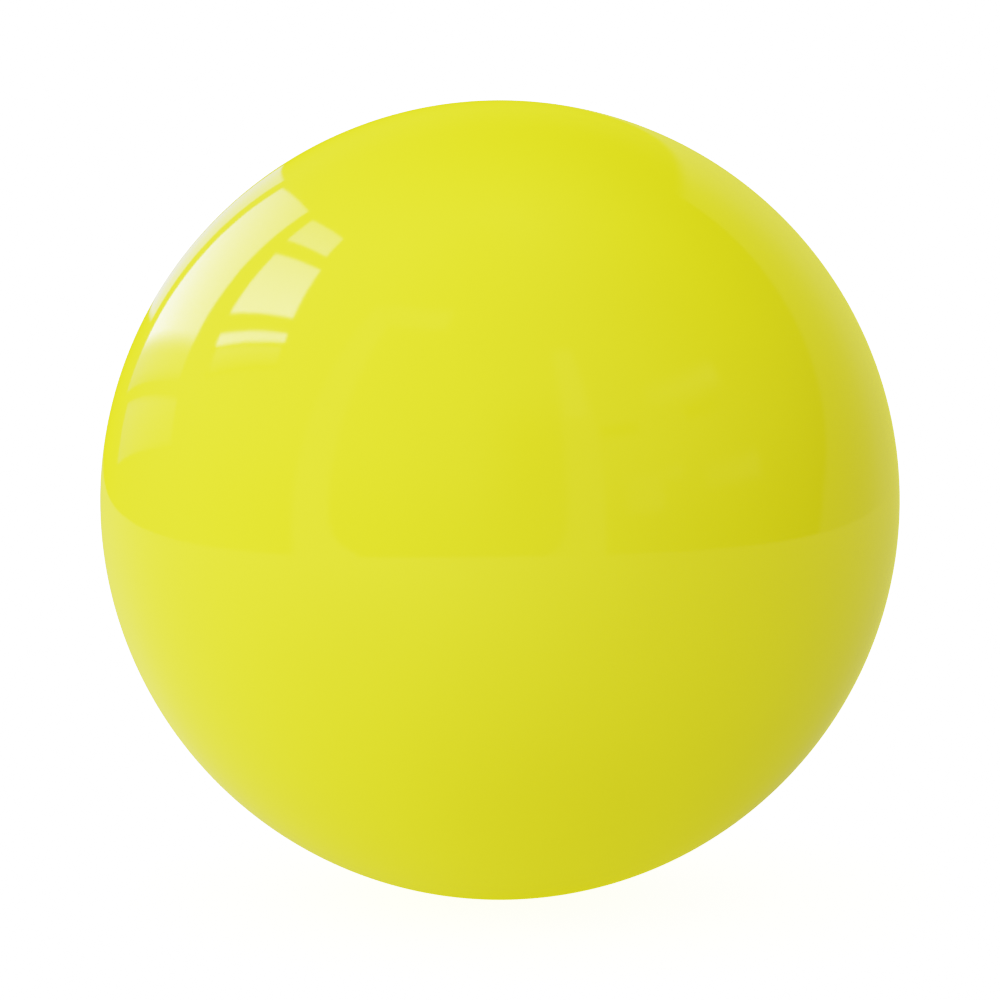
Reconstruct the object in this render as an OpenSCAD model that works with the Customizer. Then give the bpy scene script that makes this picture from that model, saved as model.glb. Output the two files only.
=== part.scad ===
// Smooth lacquered golf ball, built in bonded layers round a two-part rubber core.
// Millimetres, +Z up, origin at the centre of the ball. The cover parts on the XY plane,
// and the outer core parts on the YZ plane, so that the two joints never lie on each other.

/* [Ball] */
// Diameter over the lacquer
ball_d = 42.67; // [41:0.01:45]

/* [Lacquer] */
// Thickness of the clear gloss coat
clear_coat_t = 0.10; // [0.05:0.01:0.20]
// Thickness of the opaque yellow coat
colour_coat_t = 0.10; // [0.05:0.01:0.20]

/* [Cover] */
// Wall thickness of the moulded cover
cover_t = 1.00; // [0.6:0.05:2]

/* [Mantle] */
// Wall thickness of the mantle
mantle_t = 1.30; // [0.8:0.05:2]
// Diameter of the pit that each core-holding pin leaves in the mantle
pin_pit_d = 2.0; // [1:0.1:3]
// Depth of a pit, measured from the mantle's surface at the pit's middle
pin_pit_depth = 0.15; // [0.1:0.05:0.3]
// Number of holding pins in each half of the mould
pins_per_half = 3; // [2:1:6]
// Angle between the pole and each pin, in degrees
pin_polar_angle = 32; // [20:1:60]

/* [Core] */
// Diameter of the solid inner core
inner_core_d = 24.0; // [12:0.5:30]

/* [Hidden] */
$fn = 144;

// Outer radius of each layer, from the outside in
clear_coat_r = ball_d / 2;
colour_coat_r = clear_coat_r - clear_coat_t;
cover_r = colour_coat_r - colour_coat_t;
mantle_r = cover_r - cover_t;
outer_core_r = mantle_r - mantle_t;
inner_core_r = inner_core_d / 2;

// Angle between neighbouring pins, and the length of the cutter that makes a pit
pin_step = 360 / pins_per_half;
pit_cutter_h = 2 * pin_pit_depth + 1;
// Edge of the block that keeps one half of a layer
half_block = 2 * ball_d;

lacquer_yellow = [0.88, 0.89, 0.12];
cover_yellow = [0.93, 0.91, 0.42];
ionomer_white = [0.94, 0.94, 0.90];
outer_rubber = [0.34, 0.50, 0.56];
inner_rubber = [0.82, 0.40, 0.20];

// A closed layer of even thickness between two radii.
module layer(outer_r, inner_r) {
    difference() {
        sphere(r = outer_r);
        sphere(r = inner_r);
    }
}

// Everything on the side of a plane through the centre that the given direction points to.
module half_space(direction) {
    translate(direction * half_block / 2)
        cube(half_block, center = true);
}

// Short cylinders where the holding pins stood, the lower ring turned half a step from the upper.
module pin_pits() {
    for (side = [0, 1], i = [0 : pins_per_half - 1]) {
        polar = side == 0 ? pin_polar_angle : 180 - pin_polar_angle;
        rotate([0, polar, (i + side / 2) * pin_step])
            translate([0, 0, mantle_r - pin_pit_depth])
                cylinder(d = pin_pit_d, h = pit_cutter_h);
    }
}

// The mantle's outer form with its pits, which the cover is moulded onto.
module mantle_form() {
    difference() {
        sphere(r = mantle_r);
        pin_pits();
    }
}

// One half of the cover, with the bosses that fill the pits.
module cover_half(direction) {
    intersection() {
        difference() {
            sphere(r = cover_r);
            mantle_form();
        }
        half_space(direction);
    }
}

// One half shell of the outer core.
module outer_core_half(direction) {
    intersection() {
        layer(outer_core_r, inner_core_r);
        half_space(direction);
    }
}

module inner_core() {
    color(inner_rubber)
        sphere(r = inner_core_r);
}

module outer_core_left() {
    color(outer_rubber)
        outer_core_half([-1, 0, 0]);
}

module outer_core_right() {
    color(outer_rubber)
        outer_core_half([1, 0, 0]);
}

module mantle() {
    color(ionomer_white)
        difference() {
            mantle_form();
            sphere(r = outer_core_r);
        }
}

module cover_upper() {
    color(cover_yellow)
        cover_half([0, 0, 1]);
}

module cover_lower() {
    color(cover_yellow)
        cover_half([0, 0, -1]);
}

module colour_coat() {
    color(lacquer_yellow)
        layer(colour_coat_r, cover_r);
}

module clear_coat() {
    color(lacquer_yellow, 0.35)
        layer(clear_coat_r, colour_coat_r);
}

inner_core();
outer_core_left();
outer_core_right();
mantle();
cover_upper();
cover_lower();
colour_coat();
clear_coat();
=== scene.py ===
import logging
import math
from dataclasses import dataclass, field
from enum import Enum
from functools import cache

import bpy
import numpy as np
from bpy.types import Material, Node, NodeSocket, NodeTree, Object, World
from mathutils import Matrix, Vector


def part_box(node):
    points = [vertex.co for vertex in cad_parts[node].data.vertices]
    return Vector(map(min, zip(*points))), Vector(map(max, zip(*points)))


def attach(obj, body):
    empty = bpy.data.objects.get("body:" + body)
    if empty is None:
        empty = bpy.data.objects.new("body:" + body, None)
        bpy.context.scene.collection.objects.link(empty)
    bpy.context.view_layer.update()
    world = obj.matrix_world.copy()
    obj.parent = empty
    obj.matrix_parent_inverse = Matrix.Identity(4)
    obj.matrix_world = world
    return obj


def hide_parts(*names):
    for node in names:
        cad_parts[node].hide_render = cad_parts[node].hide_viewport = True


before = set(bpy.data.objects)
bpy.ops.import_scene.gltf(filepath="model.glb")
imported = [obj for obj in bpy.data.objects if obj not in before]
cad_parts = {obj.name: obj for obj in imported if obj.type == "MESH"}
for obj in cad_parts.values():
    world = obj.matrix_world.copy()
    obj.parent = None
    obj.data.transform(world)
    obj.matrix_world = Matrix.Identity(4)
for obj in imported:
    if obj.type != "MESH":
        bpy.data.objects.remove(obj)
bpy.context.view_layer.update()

MM = 0.001
Grid = np.ndarray
Colour = tuple[float, float, float, float]

# Sockets of the Mix node in colour mode, which share their names with its other modes.
MIX_A, MIX_B, MIX_RESULT = 6, 7, 2

WHITE = np.ones(3)

log = logging.getLogger("golf_ball")


# ---- sizes from the frame

def layer_radius(node: str) -> float:
    """Outer radius of a CAD layer, in metres: half the longest side of its box."""
    low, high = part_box(node)
    return max(high[axis] - low[axis] for axis in range(3)) / 2


BALL_R = layer_radius("clear_coat")
COVER_R = layer_radius("cover_upper")
MANTLE_R = layer_radius("mantle")
OUTER_CORE_R = layer_radius("outer_core_left")
INNER_CORE_R = layer_radius("inner_core")


# ---- surfaces worked out on grids

def ease(values: Grid, low: float, high: float) -> Grid:
    """Smooth step: 0 at low, 1 at high, level at both (three t squared less two t cubed)."""
    t = np.clip((values - low) / (high - low), 0.0, 1.0)
    return t * t * (3.0 - 2.0 * t)


def unit(vectors: Grid) -> Grid:
    """The vectors divided by their lengths."""
    return vectors / np.linalg.norm(vectors, axis=-1, keepdims=True)


def cube_sphere(cells: int) -> tuple[Grid, Grid]:
    """Unit sphere made of six square patches, so that it has no pole and its cells are even.

    On each patch two angles run from -45 to 45 degrees. A point is the patch's outward axis plus
    the tangent of each angle along one side of the patch, divided by its length. Points that two
    patches share are merged.

    Args:
        cells: number of cells along a patch's side.

    Returns:
        The points, and the four-cornered faces as rows of point numbers, facing outwards.
    """
    tangent = np.tan(np.linspace(-math.pi / 4, math.pi / 4, cells + 1))
    u, v = np.meshgrid(tangent, tangent, indexing="ij")
    patches = []
    for axis in range(3):
        for side in (1.0, -1.0):
            across = (u, v) if side > 0 else (v, u)
            patch = np.stack([np.full_like(u, side), *across], -1)
            patches.append(np.roll(patch, axis, axis=-1).reshape(-1, 3))
    points = unit(np.concatenate(patches))
    quad = grid_faces(cells, cells)
    faces = np.concatenate([quad + k * (cells + 1) ** 2 for k in range(len(patches))])
    _, first, merged = np.unique(np.round(points, 9), axis=0, return_index=True, return_inverse=True)
    return points[first], merged.reshape(-1)[faces]


def grid_faces(rows: int, columns: int) -> Grid:
    """Faces of a grid of points, with one more point than cells each way.

    Args:
        rows: number of cells along the first index.
        columns: number of cells along the second.

    Returns:
        The four-cornered faces as rows of point numbers.
    """
    row, column = np.meshgrid(np.arange(rows), np.arange(columns), indexing="ij")
    corner = (row * (columns + 1) + column).ravel()
    return np.stack([corner, corner + columns + 1, corner + columns + 2, corner + 1], -1)


def turned_profile(along: Grid, out: Grid, steps: int) -> tuple[Grid, list[Grid]]:
    """Surface of a profile carried round the Z axis, closed by a fan of triangles at each end.

    The two parameters are the place on the profile and the angle round the axis. A point is
    (out times the angle's cosine, out times its sine, along). The profile runs from the outer pole
    to the inner one, and both of those points lie on the axis.

    Args:
        along: height of each profile point.
        out: distance of each profile point from the axis.
        steps: number of steps round the axis.

    Returns:
        The points, and the faces: the four-cornered ones and then the triangles.
    """
    angle = np.arange(steps) * (2 * math.pi / steps)
    rings = len(along) - 2
    body = np.empty((rings, steps, 3))
    body[..., 0] = out[1:-1, None] * np.cos(angle)
    body[..., 1] = out[1:-1, None] * np.sin(angle)
    body[..., 2] = along[1:-1, None]
    points = np.concatenate([body.reshape(-1, 3), [[0, 0, along[0]], [0, 0, along[-1]]]])
    row, step = np.meshgrid(np.arange(rings - 1), np.arange(steps), indexing="ij")
    here, beside = row * steps + step, row * steps + (step + 1) % steps
    quads = np.stack([here, here + steps, beside + steps, beside], -1).reshape(-1, 4)
    turn = np.arange(steps)
    after = (turn + 1) % steps
    first_pole, last_pole, last_ring = rings * steps, rings * steps + 1, (rings - 1) * steps
    outer_fan = np.stack([np.full(steps, first_pole), turn, after], -1)
    inner_fan = np.stack([np.full(steps, last_pole), last_ring + after, last_ring + turn], -1)
    return points, [quads, np.concatenate([outer_fan, inner_fan])]


def waviness(directions: Grid, length: float, count: int, seed: int) -> Grid:
    """Smooth random waves over a sphere, of about unit height.

    The height is a sum of cosines of the distance along fixed random directions, each with its own
    phase and with a wave number near two pi over the length, divided by the root of half their count.

    Args:
        directions: points on the unit sphere.
        length: usual wavelength, as a share of the radius.
        count: number of waves.
        seed: seed of the random draws.

    Returns:
        One height for each point.
    """
    draw = np.random.default_rng(seed)
    heading = unit(draw.normal(size=(count, 3)))
    number = 2 * math.pi / length * draw.uniform(0.6, 1.4, count)
    phase = draw.uniform(0, 2 * math.pi, count)
    waves = np.cos(directions @ (heading * number[:, None]).T + phase)
    return waves.sum(-1) / math.sqrt(count / 2)


def make_mesh(name: str, points: Grid, faces: list[Grid]) -> Object:
    """Puts points and faces into a smooth-shaded mesh object at the origin.

    Args:
        name: the object's name.
        points: one point a row, in metres.
        faces: arrays of faces, each array with its own number of corners.

    Returns:
        The new object, linked to the scene.
    """
    mesh = bpy.data.meshes.new(name)
    corners = np.concatenate([group.ravel() for group in faces])
    sizes = np.concatenate([np.full(len(group), group.shape[1]) for group in faces])
    starts = np.cumsum(sizes) - sizes
    mesh.vertices.add(len(points))
    mesh.vertices.foreach_set("co", np.asarray(points, np.float32).ravel())
    mesh.loops.add(len(corners))
    mesh.loops.foreach_set("vertex_index", corners.astype(np.int32))
    mesh.polygons.add(len(sizes))
    mesh.polygons.foreach_set("loop_start", starts.astype(np.int32))
    mesh.update(calc_edges=True)
    mesh.validate()
    mesh.shade_smooth()
    made = bpy.data.objects.new(name, mesh)
    bpy.context.scene.collection.objects.link(made)
    return made


def hollow_ball(name: str, outside: Grid, faces: Grid, hollow: float, cells: int) -> Object:
    """Outer surface together with a plain inner sphere whose faces look into the hollow.

    Args:
        name: the object's name.
        outside: points of the outer surface.
        faces: faces of the outer surface.
        hollow: radius of the hollow, in metres.
        cells: cells along a patch's side on the inner sphere.

    Returns:
        The new object.
    """
    inner_points, inner_faces = cube_sphere(cells)
    points = np.concatenate([outside, inner_points * hollow])
    return make_mesh(name, points, [faces, inner_faces[:, ::-1] + len(outside)])


def dress(piece: Object, material: Material, slot: str, *nodes: str) -> None:
    """Gives a piece its material, its body and the CAD nodes that it replaces.

    Args:
        piece: the object to dress.
        material: its material.
        slot: name of its slot. Not used.
        nodes: the CAD nodes that it replaces.
    """
    piece.data.materials.append(material)
    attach(piece, "root")
    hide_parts(*nodes)


def put_on_stage(made: Object, *unseen_by: str) -> None:
    """Hides an object from some kinds of rays, given by name."""
    for ray in unseen_by:
        setattr(made, f"visible_{ray}", False)


# ---- node trees

@dataclass
class Tree:
    """A node tree, with short ways to add a node and to join two sockets."""

    tree: NodeTree

    def add(self, kind: str, inputs: dict | None = None, **settings: object) -> Node:
        """Adds a node.

        Args:
            kind: the node's type name without its ShaderNode prefix, or a whole Node name.
            inputs: a value or a source socket for each input, by name or number.
            settings: values for the node's own properties.

        Returns:
            The new node.
        """
        node = self.tree.nodes.new(kind if kind.startswith("Node") else "ShaderNode" + kind)
        for key, value in settings.items():
            setattr(node, key, value)
        for key, value in (inputs or {}).items():
            if isinstance(value, NodeSocket):
                self.tree.links.new(value, node.inputs[key])
            else:
                node.inputs[key].default_value = value
        return node

    def place(self, group: NodeTree, inputs: dict) -> Node:
        """Adds a shared effect with its own input values."""
        return self.add("Group", inputs, node_tree=group)

    def link(self, source: NodeSocket, target: NodeSocket) -> None:
        """Joins an output to an input."""
        self.tree.links.new(source, target)


def new_material(name: str) -> tuple[Material, Tree, Node]:
    """An empty node material.

    Args:
        name: the material's name.

    Returns:
        The material, its tree and its output node.
    """
    material = bpy.data.materials.new(name)
    material.use_nodes = True
    material.node_tree.nodes.clear()
    tree = Tree(material.node_tree)
    return material, tree, tree.add("OutputMaterial")


def new_group(name: str, takes: dict[str, str], gives: dict[str, str]) -> tuple[Tree, dict, dict]:
    """An empty shader node group.

    Args:
        name: the group's name.
        takes: kind of each input, by name: Float, Vector or Color.
        gives: kind of each output, by name.

    Returns:
        The group's tree, the sockets that bring its inputs in, and the ones that take its outputs.
    """
    group = bpy.data.node_groups.new(name, "ShaderNodeTree")
    for sockets, way in ((takes, "INPUT"), (gives, "OUTPUT")):
        for label, kind in sockets.items():
            group.interface.new_socket(name=label, in_out=way, socket_type="NodeSocket" + kind)
    tree = Tree(group)
    taken = tree.add("NodeGroupInput").outputs
    given = tree.add("NodeGroupOutput").inputs
    return tree, {label: taken[label] for label in takes}, {label: given[label] for label in gives}


# ---- effects that finishes share

@cache
def pigment_cloud() -> NodeTree:
    """Pigment that lies a little denser in soft clouds.

    Returns:
        A group that takes Vector, Colour, Dense, Scale and Amount, and gives Colour.
    """
    tree, taken, given = new_group(
        "pigment_cloud",
        {"Vector": "Vector", "Colour": "Color", "Dense": "Color", "Scale": "Float", "Amount": "Float"},
        {"Colour": "Color"},
    )
    cloud = tree.add("TexNoise", {
        "Vector": taken["Vector"], "Scale": taken["Scale"], "Detail": 3.0, "Roughness": 0.45,
    })
    spread = tree.add("MapRange", {"Value": cloud.outputs["Fac"], "From Min": 0.35, "From Max": 0.70})
    share = tree.add("Math", {0: spread.outputs["Result"], 1: taken["Amount"]}, operation="MULTIPLY")
    mixed = tree.add("Mix", {
        "Factor": share.outputs["Value"], MIX_A: taken["Colour"], MIX_B: taken["Dense"],
    }, data_type="RGBA")
    tree.link(mixed.outputs[MIX_RESULT], given["Colour"])
    return tree.tree


@cache
def powder_specks() -> NodeTree:
    """Fine specks of filler that did not quite disperse in a rubber or plastic.

    Returns:
        A group that takes Vector, Scale and Size, and gives a Mask that is 1 on a speck.
    """
    tree, taken, given = new_group(
        "powder_specks", {"Vector": "Vector", "Scale": "Float", "Size": "Float"}, {"Mask": "Float"},
    )
    cells = tree.add("TexVoronoi", {"Vector": taken["Vector"], "Scale": taken["Scale"]})
    mask = tree.add("MapRange", {
        "Value": cells.outputs["Distance"], "From Max": taken["Size"], "To Min": 1.0, "To Max": 0.0,
    })
    tree.link(mask.outputs["Result"], given["Mask"])
    return tree.tree


@cache
def moulded_grain() -> NodeTree:
    """Fine texture of a moulded surface: uneven sheen, and a low relief that follows it.

    Returns:
        A group that takes Vector, Scale, Sheen and Spread, and gives Roughness and Height.
    """
    tree, taken, given = new_group(
        "moulded_grain",
        {"Vector": "Vector", "Scale": "Float", "Sheen": "Float", "Spread": "Float"},
        {"Roughness": "Float", "Height": "Float"},
    )
    fine = tree.add("TexNoise", {
        "Vector": taken["Vector"], "Scale": taken["Scale"], "Detail": 5.0, "Roughness": 0.55,
    })
    centred = tree.add("Math", {0: fine.outputs["Fac"], 1: 0.5}, operation="SUBTRACT")
    swing = tree.add("Math", {
        0: centred.outputs["Value"], 1: taken["Spread"], 2: taken["Sheen"],
    }, operation="MULTIPLY_ADD", use_clamp=True)
    tree.link(swing.outputs["Value"], given["Roughness"])
    tree.link(fine.outputs["Fac"], given["Height"])
    return tree.tree


@cache
def buffed_band() -> NodeTree:
    """Fine scratches in a narrow band along a parting line, where the flash was buffed off.

    The band lies in the plane where the Distance input is zero. The scratches are noise drawn out
    along the band, because the coordinate across it is stretched.

    Returns:
        A group that takes Vector, Distance, Width and Stretch, and gives Mask and Height.
    """
    tree, taken, given = new_group(
        "buffed_band",
        {"Vector": "Vector", "Distance": "Float", "Width": "Float", "Stretch": "Vector"},
        {"Mask": "Float", "Height": "Float"},
    )
    off = tree.add("Math", {0: taken["Distance"]}, operation="ABSOLUTE")
    band = tree.add("MapRange", {
        "Value": off.outputs["Value"], "From Max": taken["Width"], "To Min": 1.0, "To Max": 0.0,
    }, interpolation_type="SMOOTHSTEP")
    drawn = tree.add("VectorMath", {0: taken["Vector"], 1: taken["Stretch"]}, operation="MULTIPLY")
    lines = tree.add("TexNoise", {"Vector": drawn.outputs["Vector"], "Scale": 1.0, "Detail": 2.0})
    cut = tree.add("Math", {0: lines.outputs["Fac"], 1: band.outputs["Result"]}, operation="MULTIPLY")
    tree.link(band.outputs["Result"], given["Mask"])
    tree.link(cut.outputs["Value"], given["Height"])
    return tree.tree


# ---- finishes

@dataclass(frozen=True)
class Finish:
    """What every finish of the ball has: two shades of pigment in soft clouds, and a fine grain."""

    name: str
    colour: Colour
    dense: Colour
    cloud_scale: float = 90.0
    cloud_amount: float = 1.0
    sheen: float = 0.42
    spread: float = 0.20
    relief: float = 0.5
    grain_scale: float = 900.0
    grain_depth: float = 0.004 * MM

    def refine(self, tree: Tree, place: NodeSocket, skin: dict) -> None:
        """Adds what a finish has of its own to the shader's inputs. The plain finish adds nothing."""

    def build(self) -> Material:
        """Builds the material: clouds and grain, what the finish adds, and one shader over them.

        Returns:
            The material.
        """
        material, tree, output = new_material(self.name)
        place = tree.add("TexCoord").outputs["Object"]
        pigment = tree.place(pigment_cloud(), {
            "Vector": place, "Colour": self.colour, "Dense": self.dense,
            "Scale": self.cloud_scale, "Amount": self.cloud_amount,
        })
        grain = tree.place(moulded_grain(), {
            "Vector": place, "Scale": self.grain_scale, "Sheen": self.sheen, "Spread": self.spread,
        })
        relief = tree.add("Bump", {
            "Strength": self.relief, "Distance": self.grain_depth, "Height": grain.outputs["Height"],
        })
        skin = {
            "Base Color": pigment.outputs["Colour"], "Roughness": grain.outputs["Roughness"],
            "Normal": relief.outputs["Normal"],
        }
        self.refine(tree, place, skin)
        shader = tree.add("BsdfPrincipled", skin)
        tree.link(shader.outputs["BSDF"], output.inputs["Surface"])
        return material


@dataclass(frozen=True)
class GlossLacquer(Finish):
    """Opaque yellow lacquer under a hard clear coat, polished by its own flow."""

    name: str = "gloss_yellow_lacquer"
    colour: Colour = (0.800, 0.808, 0.006, 1.0)
    dense: Colour = (0.785, 0.784, 0.005, 1.0)
    cloud_scale: float = 70.0
    sheen: float = 0.38
    relief: float = 0.3
    grain_scale: float = 1600.0
    grain_depth: float = 0.0015 * MM
    clear_roughness: float = 0.055
    clear_ior: float = 1.5

    def refine(self, tree: Tree, place: NodeSocket, skin: dict) -> None:
        """Adds the smooth clear coat, and takes the gloss from the lacquer under it."""
        skin["Specular IOR Level"], skin["Coat Weight"] = 0.0, 1.0
        skin["Coat Roughness"], skin["Coat IOR"] = self.clear_roughness, self.clear_ior


@dataclass(frozen=True)
class MouldedPlastic(Finish):
    """Satin moulded layer: the urethane cover or the ionomer mantle."""

    cloud_amount: float = 0.8
    spread: float = 0.25
    milkiness: float = 0.0
    light_reach: float = 0.8 * MM
    band_axis: int | None = None
    band_width: float = 1.2 * MM
    band_relief: float = 0.6
    band_dulling: float = 0.2
    scratch_pitch: float = 0.06 * MM
    scratch_length: float = 4.0 * MM

    def refine(self, tree: Tree, place: NodeSocket, skin: dict) -> None:
        """Adds the milkiness, and a buffed band where the layer has a parting plane.

        Args:
            tree: the material's tree.
            place: the piece's own coordinates.
            skin: the shader's inputs, which are changed here.
        """
        skin["Subsurface Weight"], skin["Subsurface Scale"] = self.milkiness, self.light_reach
        if self.band_axis is None:
            return
        parts = tree.add("SeparateXYZ", {"Vector": place})
        stretch = [1 / self.scratch_length] * 3
        stretch[self.band_axis] = 1 / self.scratch_pitch
        band = tree.place(buffed_band(), {
            "Vector": place, "Distance": parts.outputs[self.band_axis],
            "Width": self.band_width, "Stretch": stretch,
        })
        scored = tree.add("Bump", {
            "Strength": self.band_relief, "Distance": self.grain_depth,
            "Height": band.outputs["Height"], "Normal": skin["Normal"],
        })
        duller = tree.add("Math", {
            0: band.outputs["Mask"], 1: self.band_dulling, 2: skin["Roughness"],
        }, operation="MULTIPLY_ADD", use_clamp=True)
        skin["Roughness"], skin["Normal"] = duller.outputs["Value"], scored.outputs["Normal"]


@dataclass(frozen=True)
class CuredRubber(Finish):
    """Matt cured rubber with pale powder specks."""

    cloud_scale: float = 120.0
    sheen: float = 0.68
    relief: float = 0.8
    grain_scale: float = 2200.0
    grain_depth: float = 0.012 * MM
    speck: Colour = (0.86, 0.84, 0.80, 1.0)
    speck_scale: float = 1400.0
    speck_size: float = 0.16

    def refine(self, tree: Tree, place: NodeSocket, skin: dict) -> None:
        """Adds the specks to the colour.

        Args:
            tree: the material's tree.
            place: the piece's own coordinates.
            skin: the shader's inputs, which are changed here.
        """
        specks = tree.place(powder_specks(), {
            "Vector": place, "Scale": self.speck_scale, "Size": self.speck_size,
        })
        colour = tree.add("Mix", {
            "Factor": specks.outputs["Mask"], MIX_A: skin["Base Color"], MIX_B: self.speck,
        }, data_type="RGBA")
        skin["Base Color"] = colour.outputs[MIX_RESULT]


# ---- pieces of the ball

class Side(Enum):
    """The side of a parting plane that a half lies on: its axis number and its sign."""

    UPPER = (2, 1)
    LOWER = (2, -1)
    LEFT = (0, -1)
    RIGHT = (0, 1)

    def stand(self, points: Grid) -> Grid:
        """Turns a half that was made round +Z so that its pole points to this side.

        Args:
            points: points of the half as it was made.

        Returns:
            The turned points.
        """
        axis, sign = self.value
        turned = np.roll(points, axis - 2, axis=-1)
        if sign < 0:
            turned[:, [axis, (axis + 1) % 3]] *= -1
        return turned


@dataclass
class HoldingPins:
    """The pins that held the core in the middle of the mould, and the pits they left."""

    per_half: int = 3
    polar: float = math.radians(32)
    pit_radius: float = 1.0 * MM
    pit_depth: float = 0.15 * MM
    draft: float = 0.12 * MM

    def axes(self) -> Grid:
        """Unit directions of the pins: an upper ring, and a lower one turned by half a step.

        Returns:
            One direction a row.
        """
        count = np.arange(self.per_half)
        rings = []
        for lower in (0, 1):
            around = (count + lower / 2) * (2 * math.pi / self.per_half)
            polar = math.pi - self.polar if lower else self.polar
            across = math.sin(polar)
            flat = np.full(self.per_half, math.cos(polar))
            rings.append(np.stack([across * np.cos(around), across * np.sin(around), flat], -1))
        return np.concatenate(rings)

    def depth(self, directions: Grid) -> Grid:
        """Depth of the pits under the mantle's surface.

        A point's distance from the nearest pin axis is the mantle's radius times the angle between
        them. The depth is full inside the pit's radius and eases to nothing over the wall's draft.

        Args:
            directions: unit directions of the points.

        Returns:
            One depth for each point, in metres.
        """
        nearest = np.clip((directions @ self.axes().T).max(-1), -1, 1)
        distance = MANTLE_R * np.arccos(nearest)
        wall = self.draft / 2
        return self.pit_depth * (1 - ease(distance, self.pit_radius - wall, self.pit_radius + wall))


@dataclass
class LacquerSkin:
    """Colour coat and clear coat as one hollow skin, with the slight swell that sprayed lacquer has."""

    name: str = "gloss_lacquer_skin"
    cells: int = 112
    inner_cells: int = 48
    swell: float = 0.0004 * MM
    swell_length: float = 1.6 * MM
    finish: GlossLacquer = field(default_factory=GlossLacquer)

    def build(self) -> Object:
        """Builds the skin: radius plus a swell outside, and the cover's radius inside.

        Returns:
            The new object.
        """
        points, faces = cube_sphere(self.cells)
        swell = waviness(points, self.swell_length / BALL_R, count=60, seed=11)
        outside = points * (BALL_R - self.swell * (1 - 0.5 * swell))[:, None]
        made = hollow_ball(self.name, outside, faces, COVER_R, self.inner_cells)
        dress(made, self.finish.build(), "yellow_lacquer", "colour_coat", "clear_coat")
        return made


@dataclass
class HalfShell:
    """A moulded half of a layer, with a flat parting face and slightly rounded lips."""

    kind: str
    layer: str
    side: Side
    slot: str
    outer: float
    inner: float
    finish: Finish
    pins: HoldingPins | None = None
    lip: float = 0.08 * MM
    arc_steps: int = 150
    lip_steps: int = 5
    face_steps: int = 8
    turn_steps: int = 288

    def profile(self) -> tuple[Grid, Grid]:
        """Outline of the half's wall, from the outer pole over both lips to the inner pole.

        An arc of the outer radius comes down from the pole, a quarter circle of the lip's radius turns
        it into the parting face, and the same follows in reverse along the inner radius.

        Returns:
            Height of each point above the parting plane, and its distance from the axis.
        """
        lip = self.lip
        outer_end = math.acos(lip / (self.outer - lip))
        inner_end = math.acos(lip / (self.inner + lip))
        down = np.linspace(0, outer_end, self.arc_steps)
        corner = np.linspace(outer_end, math.pi, self.lip_steps)[1:]
        centre = math.sqrt((self.outer - lip) ** 2 - lip**2)
        back_centre = math.sqrt((self.inner + lip) ** 2 - lip**2)
        across = np.linspace(centre, back_centre, self.face_steps)[1:-1]
        return_corner = np.linspace(math.pi, math.pi + inner_end, self.lip_steps)
        up = np.linspace(inner_end, 0, self.arc_steps)[1:]
        height = np.concatenate([
            self.outer * np.cos(down), lip + lip * np.cos(corner), np.zeros(len(across)),
            lip + lip * np.cos(return_corner), self.inner * np.cos(up),
        ])
        out = np.concatenate([
            self.outer * np.sin(down), centre + lip * np.sin(corner), across,
            back_centre + lip * np.sin(return_corner), self.inner * np.sin(up),
        ])
        out[[0, -1]] = 0
        return height, out

    def build(self) -> Object:
        """Builds the half, turns it to its side and dresses it.

        Returns:
            The new object.
        """
        height, out = self.profile()
        points, faces = turned_profile(height, out, self.turn_steps)
        points = self.side.stand(points)
        if self.pins:
            reach = np.linalg.norm(points, axis=-1)
            bed = reach < (self.outer + self.inner) / 2
            bed &= np.abs(points[:, self.side.value[0]]) > 2 * self.lip
            directions = unit(points[bed])
            points[bed] -= directions * self.pins.depth(directions)[:, None]
        node = f"{self.layer}_{self.side.name.lower()}"
        made = make_mesh(f"{node}_{self.kind}", points, faces)
        dress(made, self.finish.build(), self.slot, node)
        return made


@dataclass
class Mantle:
    """One-piece mantle, pitted where the holding pins stood."""

    name: str = "mantle_moulding"
    cells: int = 112
    inner_cells: int = 48
    pins: HoldingPins = field(default_factory=HoldingPins)
    finish: MouldedPlastic = field(default_factory=lambda: MouldedPlastic(
        "milky_ionomer", (0.86, 0.86, 0.80, 1.0), (0.78, 0.80, 0.76, 1.0), sheen=0.34, milkiness=0.25,
        band_axis=2,
    ))

    def build(self) -> Object:
        """Builds the mantle: its radius less the pits' depth outside, the outer core's radius inside.

        Returns:
            The new object.
        """
        points, faces = cube_sphere(self.cells)
        outside = points * (MANTLE_R - self.pins.depth(points))[:, None]
        made = hollow_ball(self.name, outside, faces, OUTER_CORE_R, self.inner_cells)
        dress(made, self.finish.build(), "ionomer", "mantle")
        return made


@dataclass
class InnerCore:
    """Solid rubber core, tumbled to size, with a faint flat where its flash was ground off."""

    name: str = "inner_core_ball"
    cells: int = 96
    tumble: float = 0.006 * MM
    tumble_length: float = 1.1 * MM
    flash_width: float = 0.7 * MM
    flash_flat: float = 0.03 * MM
    finish: CuredRubber = field(default_factory=lambda: CuredRubber(
        "orange_core_rubber", (0.64, 0.13, 0.035, 1.0), (0.52, 0.09, 0.025, 1.0),
    ))

    def build(self) -> Object:
        """Builds the core: its radius less the tumbling marks and less the ground flat at its equator.

        Returns:
            The new object.
        """
        points, faces = cube_sphere(self.cells)
        marks = self.tumble * (1 - waviness(points, self.tumble_length / INNER_CORE_R, count=48, seed=5))
        off_equator = np.abs(points[:, 2]) * INNER_CORE_R
        flat = self.flash_flat * (1 - ease(off_equator, 0.6 * self.flash_width, self.flash_width))
        made = make_mesh(self.name, points * (INNER_CORE_R - np.abs(marks) - flat)[:, None], [faces])
        dress(made, self.finish.build(), "inner_rubber", "inner_core")
        return made


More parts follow.
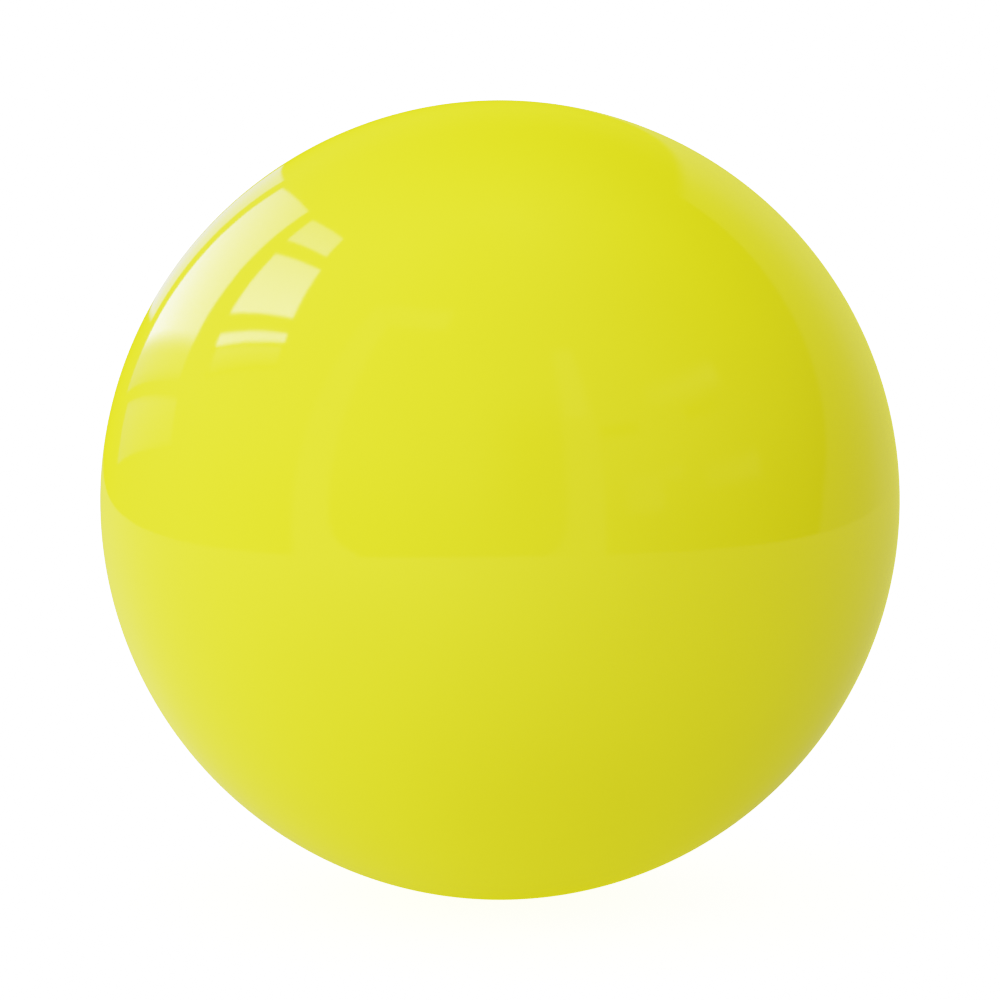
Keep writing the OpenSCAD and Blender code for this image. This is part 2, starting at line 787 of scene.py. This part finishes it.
@dataclass
class Ball:
    """The whole ball, built from the core outwards."""

    pins: HoldingPins = field(default_factory=HoldingPins)

    def outer_core(self) -> list[HalfShell]:
        """The two half shells that cure round the inner core.

        Returns:
            The left half and the right one.
        """
        rubber = CuredRubber("blue_green_core_rubber", (0.075, 0.21, 0.27, 1.0), (0.055, 0.17, 0.23, 1.0))
        return [
            HalfShell("shell", "outer_core", side, "outer_rubber", OUTER_CORE_R, INNER_CORE_R, rubber)
            for side in (Side.LEFT, Side.RIGHT)
        ]

    def cover(self) -> list[HalfShell]:
        """The two moulded halves of the cover, with bosses that fill the mantle's pits.

        Returns:
            The upper half and the lower one.
        """
        urethane = MouldedPlastic(
            "yellow_cover_urethane", (0.80, 0.76, 0.16, 1.0), (0.74, 0.69, 0.12, 1.0), band_axis=2,
        )
        return [
            HalfShell("moulding", "cover", side, "cover_urethane", COVER_R, MANTLE_R, urethane, self.pins)
            for side in (Side.UPPER, Side.LOWER)
        ]

    def build(self) -> list[Object]:
        """Builds every piece and reports it.

        Returns:
            The pieces, from the core outwards.
        """
        pieces = []
        layers = (InnerCore(), *self.outer_core(), Mantle(pins=self.pins), *self.cover(), LacquerSkin())
        for layer in layers:
            piece = layer.build()
            mesh = piece.data
            log.info("%s: %d points, %d faces", piece.name, len(mesh.vertices), len(mesh.polygons))
            pieces.append(piece)
        return pieces


# ---- studio

def lobe(azimuth: Grid, centre: float, power: float) -> Grid:
    """Soft horizontal lobe: 1 towards its centre, 0 opposite, half a cosine raised to a power."""
    return (0.5 + 0.5 * np.cos(np.radians(azimuth - centre))) ** power


@dataclass
class Pane:
    """One lit pane of the window light, in the window's own plane one unit away from the ball.

    near and far are its two upright edges, counted along the wall away from the camera. sill and head
    are its lower and upper edges at the near one, and slope is how much they climb along the wall.
    between holds more levels of the glow, each as its height above the sill and its glow.
    """

    near: float
    far: float
    sill: float
    head: float
    slope: float = 0.0
    sill_glow: float = 6.0
    head_glow: float = 6.0
    far_dim: float = 1.0
    between: tuple[tuple[float, float], ...] = ()


@dataclass
class WindowLight:
    """Window-shaped soft light on the left, seen only in the gloss."""

    name: str = "window_light"
    distance: float = 2.5
    lean: float = math.radians(28)
    cells: int = 64
    blur: float = 0.012
    frame_glow: float = 0.55
    panes: list[Pane] = field(default_factory=lambda: [
        Pane(-0.385, 0.135, 1.35, 1.635, sill_glow=4.6, head_glow=3.5, far_dim=0.72),
        Pane(-0.43, 0.105, 0.775, 1.205, sill_glow=8.6, head_glow=5.6, far_dim=0.72),
        Pane(-0.44, 0.09, 0.615, 0.675, slope=-0.02, sill_glow=7.6, head_glow=7.6, far_dim=0.85),
        Pane(-0.43, 0.07, 0.48, 0.59, sill_glow=0.8, head_glow=1.8, far_dim=0.9),
        Pane(0.32, 1.44, 0.52, 1.72, slope=0.29, sill_glow=0.70, head_glow=2.6, far_dim=0.70,
             between=((0.03, 0.98), (0.09, 1.20), (0.12, 1.60), (0.15, 2.90), (0.185, 4.5))),
        Pane(0.28, 1.22, 0.285, 0.437, slope=0.29, sill_glow=0.75, head_glow=1.0, far_dim=0.65),
        Pane(1.88, 6.50, 1.24, 2.25, slope=0.38, sill_glow=1.3, head_glow=1.2, far_dim=0.75),
    ])

    def steps(self, length: float) -> Grid:
        """Places of the grid lines along an edge: one blur outside it, one inside, the rest even."""
        inside = np.linspace(self.blur, length - self.blur, self.cells - 1)
        return np.concatenate([[-self.blur], inside, [length + self.blur]])

    def pane_surface(self, pane: Pane) -> tuple[Grid, Grid]:
        """Points and glow of one pane.

        The two parameters run along the wall and up the pane. A point is the wall's foot, plus its
        place along the leaning sill direction, plus its height along the leaning upright, and is then
        drawn onto the dome of the tent. The glow runs straight from each of its levels to the next, is
        dimmed towards the far edge, and falls to the frame's glow in the outermost row of cells.

        Args:
            pane: the pane's edges and glow.

        Returns:
            The grid of points and the glow at each.
        """
        width, tall = pane.far - pane.near, pane.head - pane.sill
        side, up = np.meshgrid(self.steps(width), self.steps(tall), indexing="ij")
        along = pane.near + side
        height = pane.sill + up + pane.slope * side
        lean_cos, lean_sin = math.cos(self.lean), math.sin(self.lean)
        points = np.stack([
            -np.ones_like(along),
            lean_cos * along + lean_sin * height,
            -lean_sin * along + lean_cos * height,
        ], -1)
        heights, levels = zip((0, pane.sill_glow), *pane.between, (tall, pane.head_glow))
        glow = np.interp(up, heights, levels)
        glow *= 1 + side / width * (pane.far_dim - 1)
        for edge in (np.s_[0, :], np.s_[-1, :], np.s_[:, 0], np.s_[:, -1]):
            glow[edge] = self.frame_glow
        return unit(points) * self.distance, glow

    def build(self) -> Object:
        """Builds all panes as one mesh that glows and that only reflections see.

        Returns:
            The new object.
        """
        surfaces = [self.pane_surface(pane) for pane in self.panes]
        quad = grid_faces(self.cells, self.cells)
        size = (self.cells + 1) ** 2
        faces = np.concatenate([quad + k * size for k in range(len(surfaces))])
        points = np.concatenate([points.reshape(-1, 3) for points, _ in surfaces])
        glow = np.concatenate([glow.ravel() for _, glow in surfaces])[:, None] * WHITE
        return glowing_stage(self.name, points, faces, glow, "window_glow")


@dataclass
class Patch:
    """Soft-edged patch of cloth, or of painted shade on it. Its edges are azimuths and elevations, in
    degrees.

    lean moves it sideways for each degree it rises, and slope raises its bottom and top for each
    degree to the right. flare widens its foot to the right, or to the left where it is negative.
    """

    left: float
    right: float
    bottom: float
    top: float
    glow: float
    lean: float = 0.0
    slope: float = 0.0
    flare: float = 0.0
    blur: float = 1.2

    def mask(self, azimuth: Grid, elevation: Grid) -> Grid:
        """Where the patch is: a product of smooth steps at the four edges.

        Args:
            azimuth: azimuths of the directions, in degrees.
            elevation: their elevations.

        Returns:
            1 inside and 0 outside.
        """
        shifted = azimuth - self.lean * (elevation - self.bottom)
        raised = elevation - self.slope * (azimuth - self.left)
        foot = self.flare * np.exp(-np.clip(elevation + 8, 0, None) / 3)
        across = ease(shifted + np.maximum(-foot, 0), self.left - self.blur, self.left + self.blur)
        across *= 1 - ease(shifted - np.maximum(foot, 0), self.right - self.blur, self.right + self.blur)
        up = ease(raised, self.bottom - self.blur, self.bottom + self.blur)
        up *= 1 - ease(raised, self.top - self.blur, self.top + self.blur)
        return across * up


@dataclass
class SideSheet:
    """White sheet that stands on the right, with a leaning front edge and a level top.

    Its sizes are on the plane one unit to the right of the ball: depths away from the camera, and
    heights. Each edge is given by where it begins to fade and where it has ended.
    """

    front: tuple[float, float] = (0.23, 0.29)
    top: tuple[float, float] = (1.40, 1.60)
    lean_above: float = 0.72
    lean_below: float = 0.3
    glow: float = 0.21
    far_gain: float = 0.09
    brightens: tuple[float, float] = (0.3, 1.4)

    def laid_on(self, cloth: Grid, direction: Grid) -> Grid:
        """Adds the sheet to the cloth.

        A place is the direction's depth and height over its width. The front edge recedes as it rises.

        Args:
            cloth: brightness of the cloth alone.
            direction: unit directions from the ball.

        Returns:
            The brightness with the sheet.
        """
        width = np.maximum(direction[:, 0], 1e-3)
        depth, height = direction[:, 1] / width, direction[:, 2] / width
        along = depth - self.lean_above * np.maximum(height, 0) - self.lean_below * np.minimum(height, 0)
        mask = (direction[:, 0] > 0) * ease(along, *self.front) * (1 - ease(height, *self.top))
        return cloth + mask * (self.glow + self.far_gain * ease(along, *self.brightens) - cloth)


@dataclass
class PaintedBounceBehind:
    """Painted yellow bounce light from the ball, with its painted shadow, right behind the ball. Its
    reflection keeps the ball's outline from going grey.
    """

    # colour is painted yellow bounce light from the ball; shade is the ball's painted shadow
    colour: tuple[float, float, float] = (0.72, 0.71, 0.02)
    window_share: float = 0.22
    full_within: float = 20.0
    none_beyond: float = 75.0
    shade: float = 0.50
    shade_from: float = 42.0

    def laid_on(self, cloth: Grid, behind: Grid, direction: Grid) -> Grid:
        """Adds the painted yellow bounce and the painted shadow to the cloth or the table.

        The white first dims towards straight behind, a painted shadow of the ball. The painted yellow
        bounce is there fully near it and not at all far from it, and is brighter on the window's side.

        Args:
            cloth: colour of the cloth alone.
            behind: angle from straight behind the ball, in degrees.
            direction: unit directions from the ball.

        Returns:
            The colour with the painted bounce and shadow.
        """
        dimmed = cloth * (self.shade + (1 - self.shade) * ease(behind, 6, self.shade_from))[..., None]
        painted_bounce = (1 - self.window_share * direction[..., :1]) * self.colour
        share = 1 - ease(behind, self.full_within, self.none_beyond)
        return dimmed + share[..., None] * np.maximum(painted_bounce - dimmed, 0)


@dataclass
class LightTent:
    """Cloth dome round the ball that its gloss reflects: grey walls, pale strips, a patch of painted
    shade, a sheet, and the ball's painted yellow bounce and shadow behind it.

    Directions are given by their azimuth, 0 on the camera's side and growing to the right, and by
    their elevation, both in degrees. Brightness is relative to white cloth in full light.
    """

    name: str = "light_tent"
    radius: float = 2.6
    cells: int = 200
    back_wall: float = 0.05
    window_wall: float = 0.72
    front_wall: float = 0.47
    crown: float = 0.60
    crown_foot: float = 33.0
    crown_rise: float = 52.0
    middle_of_back: tuple[float, float, float] = (0, 0.99, -0.14)
    sheet: SideSheet = field(default_factory=SideSheet)
    # the ball's painted yellow bounce and painted shadow behind it
    painted_bounce: PaintedBounceBehind = field(default_factory=PaintedBounceBehind)
    patches: list[Patch] = field(default_factory=lambda: [
        Patch(-60, -49, -25, 56, glow=0.99, lean=-0.015, flare=9),
        Patch(-56, -24, 52, 58, glow=0.92, slope=0.1),
        # painted shade on the wall beside the pale strip on the right
        Patch(0, 24, -14, 32, glow=0.39, blur=10),
        Patch(19, 29.5, -25, 48, glow=0.57, flare=-7),
        Patch(20.5, 28, 30, 49, glow=0.74, blur=1.6),
        Patch(49, 77, 29.5, 34.5, glow=0.50, blur=2.5),
        Patch(31, 43, 23.5, 26.5, glow=0.30),
        Patch(60, 73, 24, 27, glow=0.22),
        Patch(36, 47, 3, 13, glow=0.46, blur=2),
        Patch(48, 54, 10.5, 14, glow=0.42, blur=1.6),
        Patch(61, 80, 7, 12.5, glow=0.34, blur=2.2),
    ])

    def wall(self, azimuth: Grid, elevation: Grid) -> Grid:
        """Cloth wall: bright towards the window, dim on the right and behind, darker near its foot.

        Two lobes, one towards the window and one in front, less a share that fades out at 24 degrees
        up, and then a blend to the crown's brightness.

        Args:
            azimuth: azimuths of the directions, in degrees.
            elevation: their elevations.

        Returns:
            The brightness in each direction.
        """
        side = self.back_wall + self.window_wall * lobe(azimuth, -88, 3.6)
        side += self.front_wall * lobe(azimuth, 8, 2.5)
        dip = 0.22 + 0.38 * ease(-azimuth, 90, 155) + 0.24 * ease(azimuth, 0, 90)
        side *= 1 - dip * (1 - ease(elevation, -5, 24))
        above = np.clip((elevation - self.crown_foot) / self.crown_rise, 0, 1) ** 2
        return side + (self.crown - side) * above

    def glow(self, direction: Grid) -> Grid:
        """Colour of the tent in each direction.

        Args:
            direction: unit directions from the ball.

        Returns:
            One linear colour for each direction.
        """
        azimuth = np.degrees(np.arctan2(direction[:, 0], -direction[:, 1]))
        elevation = np.degrees(np.arcsin(np.clip(direction[:, 2], -1, 1)))
        white = self.wall(azimuth, elevation)
        for patch in self.patches:
            white += patch.mask(azimuth, elevation) * (patch.glow - white)
        white = self.sheet.laid_on(white, direction)
        # the ball's painted shadow and painted yellow bounce, straight behind it
        behind = np.degrees(np.arccos(np.clip(direction @ self.middle_of_back, -1, 1)))
        return self.painted_bounce.laid_on(white[:, None] * WHITE, behind, direction)

    def build(self) -> Object:
        """Builds the dome, which glows and which only reflections see."""
        directions, faces = cube_sphere(self.cells)
        glow = self.glow(directions)
        return glowing_stage(self.name, directions * self.radius, faces, glow, "tent_glow")


@dataclass
class TableTop:
    """Oval pale table top that the ball stands on, a little off its middle, as its gloss sees it, with
    its light and shade painted into its glow.

    The half lengths and the middle are across and deep, in ball radii from the contact point.
    """

    name: str = "table_top"
    half_lengths: tuple[float, float] = (7.5, 9.6)
    middle: tuple[float, float] = (0.6, 1.2)
    rings: int = 90
    steps: int = 180
    dimmest: float = 0.335
    window_gain: float = 0.70
    window_side: float = -56.0
    shade: float = 0.5
    shade_reach: float = 2.2
    bounce: tuple[float, float, float] = (0.66, 0.64, 0.02)
    bounce_reach: float = 2.2
    # the ball's painted yellow bounce and painted shadow behind it, as the table's polish shows them
    painted_bounce_spread: float = 0.7
    painted_bounce: PaintedBounceBehind = field(default_factory=PaintedBounceBehind)

    def edge(self, azimuth: Grid) -> Grid:
        """Distance of the oval's edge from the contact point.

        In units of the half lengths the oval is a circle of radius one. The distance solves a
        quadratic: the squared length of distance times heading, less middle, is one.

        Args:
            azimuth: azimuth of the edge point round the contact point, in degrees.

        Returns:
            One distance for each azimuth, in ball radii.
        """
        turn = np.radians(azimuth)
        heading = np.stack([np.sin(turn), -np.cos(turn)], -1) / self.half_lengths
        middle = np.divide(self.middle, self.half_lengths)
        along, square = heading @ middle, (heading**2).sum(-1)
        return (along + np.sqrt(along**2 + square * (1 - middle @ middle))) / square

    def glow(self, azimuth: Grid, distance: Grid) -> Grid:
        """Colour of the table at each place.

        A lobe towards the window gives the open table's brightness, painted light from the window. The
        ball hides a share of the sky
        from each place, a painted shadow: the cube of the ball's radius over the distance to its centre.
        A wider, softer painted shade lies on top of that. Close to the ball its own yellow is painted on
        as bounce light from the table, and behind the ball its painted yellow bounce and shadow show in
        the table's polish, spread wider than on the tent.

        Args:
            azimuth: azimuth of the place round the contact point, in degrees.
            distance: distance from the contact point, in ball radii.

        Returns:
            One linear colour for each place.
        """
        # painted light and shade: the window's light, the ball's shadow, a softer shade and the ball's
        # yellow bounce
        hidden = (1 + distance**2) ** -1.5
        open_top = self.dimmest + self.window_gain * lobe(azimuth, self.window_side, 1.9)
        shaded = 1 - self.shade * np.exp(-distance / self.shade_reach)
        white = (open_top * (1 - hidden) * shaded)[..., None] * WHITE
        near = 1 / (1 + (distance / self.bounce_reach) ** 2)
        turn = np.radians(azimuth)
        bounce = (1 - 0.15 * np.sin(turn) * ease(distance, 0, 2))[..., None] * self.bounce
        top = white + near[..., None] * np.maximum(bounce - white, 0)
        # the ball's painted yellow bounce and painted shadow behind it, as the table's polish shows them
        direction = np.stack([np.sin(turn), -np.cos(turn), np.full_like(turn, -0.12)], -1)
        with_painted_bounce = self.painted_bounce.laid_on(top, self.painted_bounce_spread * (180 - np.abs(azimuth)), direction)
        return top + ease(distance, 0.3, 2.0)[..., None] * (with_painted_bounce - top)

    def build(self) -> Object:
        """Builds the oval from rings whose spacing grows outwards, as a glow that only reflections see.

        Returns:
            The new object.
        """
        share = np.concatenate([[0.0001], np.geomspace(0.004, 1, self.rings)])
        azimuth = np.linspace(-180, 180, self.steps + 1)
        out, turn = np.meshgrid(share, azimuth, indexing="ij")
        out = out * self.edge(turn)
        points = np.stack([
            out * np.sin(np.radians(turn)), -out * np.cos(np.radians(turn)), -np.ones_like(out),
        ], -1).reshape(-1, 3) * BALL_R
        glow = self.glow(turn, out).reshape(-1, 3)
        return glowing_stage(self.name, points, grid_faces(self.rings, self.steps), glow, "table_glow")


def glow_material(name: str) -> Material:
    """Material that shines with the mesh's own glow attribute, and isn't sampled as a lamp.

    Args:
        name: the material's name.

    Returns:
        The material.
    """
    material, tree, output = new_material(name)
    glow = tree.add("Attribute", attribute_name="glow")
    light = tree.add("Emission", {"Color": glow.outputs["Color"], "Strength": 1.0})
    tree.link(light.outputs["Emission"], output.inputs["Surface"])
    material.cycles.emission_sampling = "NONE"
    return material


def glowing_stage(name: str, points: Grid, faces: Grid, glow: Grid, material: str) -> Object:
    """Mesh that shines with its own glow and that only reflections see.

    Args:
        name: the object's name.
        points: one point a row, in metres.
        faces: four-cornered faces.
        glow: one linear colour for each point.
        material: the material's name.

    Returns:
        The new object.
    """
    made = make_mesh(name, points, [faces])
    layer = made.data.attributes.new("glow", "FLOAT_COLOR", "POINT")
    opaque = np.concatenate([glow, np.ones((len(glow), 1))], -1)
    layer.data.foreach_set("color", opaque.astype(np.float32).ravel())
    made.data.materials.append(glow_material(material))
    put_on_stage(made, "camera", "diffuse", "transmission", "volume_scatter", "shadow")
    return made


@dataclass
class SoftSky:
    """Even white light from all round, slightly brighter from the window side and warmer opposite."""

    towards: tuple[float, float, float] = (-0.83, 0.18, 0.50)
    bright: Colour = (1.285, 1.30, 1.265, 1.0)
    dim: Colour = (0.60, 0.555, 0.51, 1.0)
    strength: float = 1.0
    backdrop: float = 2.4

    def build(self) -> World:
        """Builds the world: a blend along one direction for light, plain white for the camera.

        Returns:
            The new world.
        """
        world = bpy.data.worlds.new("soft_sky")
        bpy.context.scene.world = world
        world.use_nodes = True
        world.node_tree.nodes.clear()
        tree = Tree(world.node_tree)
        way = tree.add("TexCoord").outputs["Generated"]
        facing = tree.add("VectorMath", {
            0: way, 1: Vector(self.towards).normalized(),
        }, operation="DOT_PRODUCT")
        share = tree.add("MapRange", {"Value": facing.outputs["Value"], "From Min": -1.0})
        tint = tree.add("Mix", {
            "Factor": share.outputs["Result"], MIX_A: self.dim, MIX_B: self.bright,
        }, data_type="RGBA")
        light = tree.add("Background", {"Color": tint.outputs[MIX_RESULT], "Strength": self.strength})
        white = tree.add("Background", {"Color": (1, 1, 1, 1), "Strength": self.backdrop})
        seen = tree.add("LightPath").outputs["Is Camera Ray"]
        either = tree.add("MixShader", {0: seen, 1: light.outputs[0], 2: white.outputs[0]})
        tree.link(either.outputs[0], tree.add("OutputWorld").inputs["Surface"])
        world.cycles_visibility.glossy = False
        return world


@dataclass
class PaleFloor:
    """Plain pale floor under the ball, lit through from below like a light table."""

    name: str = "pale_floor"
    half_side: float = 3.0
    cells: int = 8
    white: Colour = (0.84, 0.84, 0.84, 1.0)
    under_light: float = 1.3

    def build(self) -> Object:
        """Builds the floor at the ball's lowest point. Its light and shade are for the camera only.

        Returns:
            The new object.
        """
        line = np.linspace(-self.half_side, self.half_side, self.cells + 1)
        x, y = np.meshgrid(line, line, indexing="ij")
        points = np.stack([x, y, np.full_like(x, -BALL_R)], -1).reshape(-1, 3)
        made = make_mesh(self.name, points, [grid_faces(self.cells, self.cells)])
        material, tree, output = new_material("pale_floor")
        cloth = tree.add("BsdfPrincipled", {
            "Base Color": self.white, "Roughness": 0.9, "Specular IOR Level": 0.0,
            "Emission Color": (1, 1, 1, 1), "Emission Strength": self.under_light,
        })
        tree.link(cloth.outputs["BSDF"], output.inputs["Surface"])
        material.cycles.emission_sampling = "NONE"
        made.data.materials.append(material)
        put_on_stage(made, "diffuse", "glossy", "shadow")
        return made


@dataclass
class StudioCamera:
    """Long-lens camera in front of the ball, a little above its middle."""

    lens: float = 200.0
    sensor: float = 36.0
    elevation: float = math.radians(8)
    fill: float = 0.8

    def build(self) -> Object:
        """Builds the camera, so far away that the ball's outline spans its fill of the picture.

        Returns:
            The new object.
        """
        half_view = self.sensor / 2 / self.lens
        distance = BALL_R / math.sin(math.atan(self.fill * half_view))
        back = Vector((0, -math.cos(self.elevation), math.sin(self.elevation)))
        data = bpy.data.cameras.new("studio_camera")
        data.lens, data.sensor_width = self.lens, self.sensor
        data.clip_start, data.clip_end = distance / 10, 10.0
        made = bpy.data.objects.new("studio_camera", data)
        made.location = back * distance
        made.rotation_euler = (-back).to_track_quat("-Z", "Y").to_euler()
        bpy.context.scene.collection.objects.link(made)
        bpy.context.scene.camera = made
        return made


@dataclass
class ToneCurve:
    """Straight tones up to the ball's own yellow, and a soft shoulder for its highlights."""

    points: tuple[tuple[float, float], ...] = (
        (0.0, 0.0), (0.25, 0.25), (0.50, 0.50), (0.76, 0.76), (0.90, 0.815),
        (1.05, 0.845), (1.30, 0.905), (1.60, 0.965), (1.90, 1.0),
    )

    def build(self) -> None:
        """Sets the scene's colour management."""
        view = bpy.context.scene.view_settings
        view.view_transform = "Standard"
        view.use_curve_mapping = True
        mapping = view.curve_mapping
        brightest = self.points[-1][0]
        mapping.clip_max_x = mapping.clip_max_y = brightest
        mapping.extend = "HORIZONTAL"
        for channel in mapping.curves[:3]:
            channel.points[1].location = (brightest, brightest)
        curve = mapping.curves[3]
        curve.points[0].location = self.points[0]
        curve.points[1].location = self.points[-1]
        for place in self.points[1:-1]:
            curve.points.new(*place)
        for point in curve.points:
            point.handle_type = "AUTO_CLAMPED"
        mapping.update()


def main() -> None:
    """Builds the ball, then the studio round it."""
    logging.basicConfig(level=logging.INFO, format="%(name)s: %(message)s")
    Ball().build()
    studio = (WindowLight(), LightTent(), TableTop(), SoftSky(), PaleFloor(), StudioCamera(), ToneCurve())
    for part in studio:
        part.build()
        log.info("studio: %s", type(part).__name__)


if __name__ == "__main__":
    main()
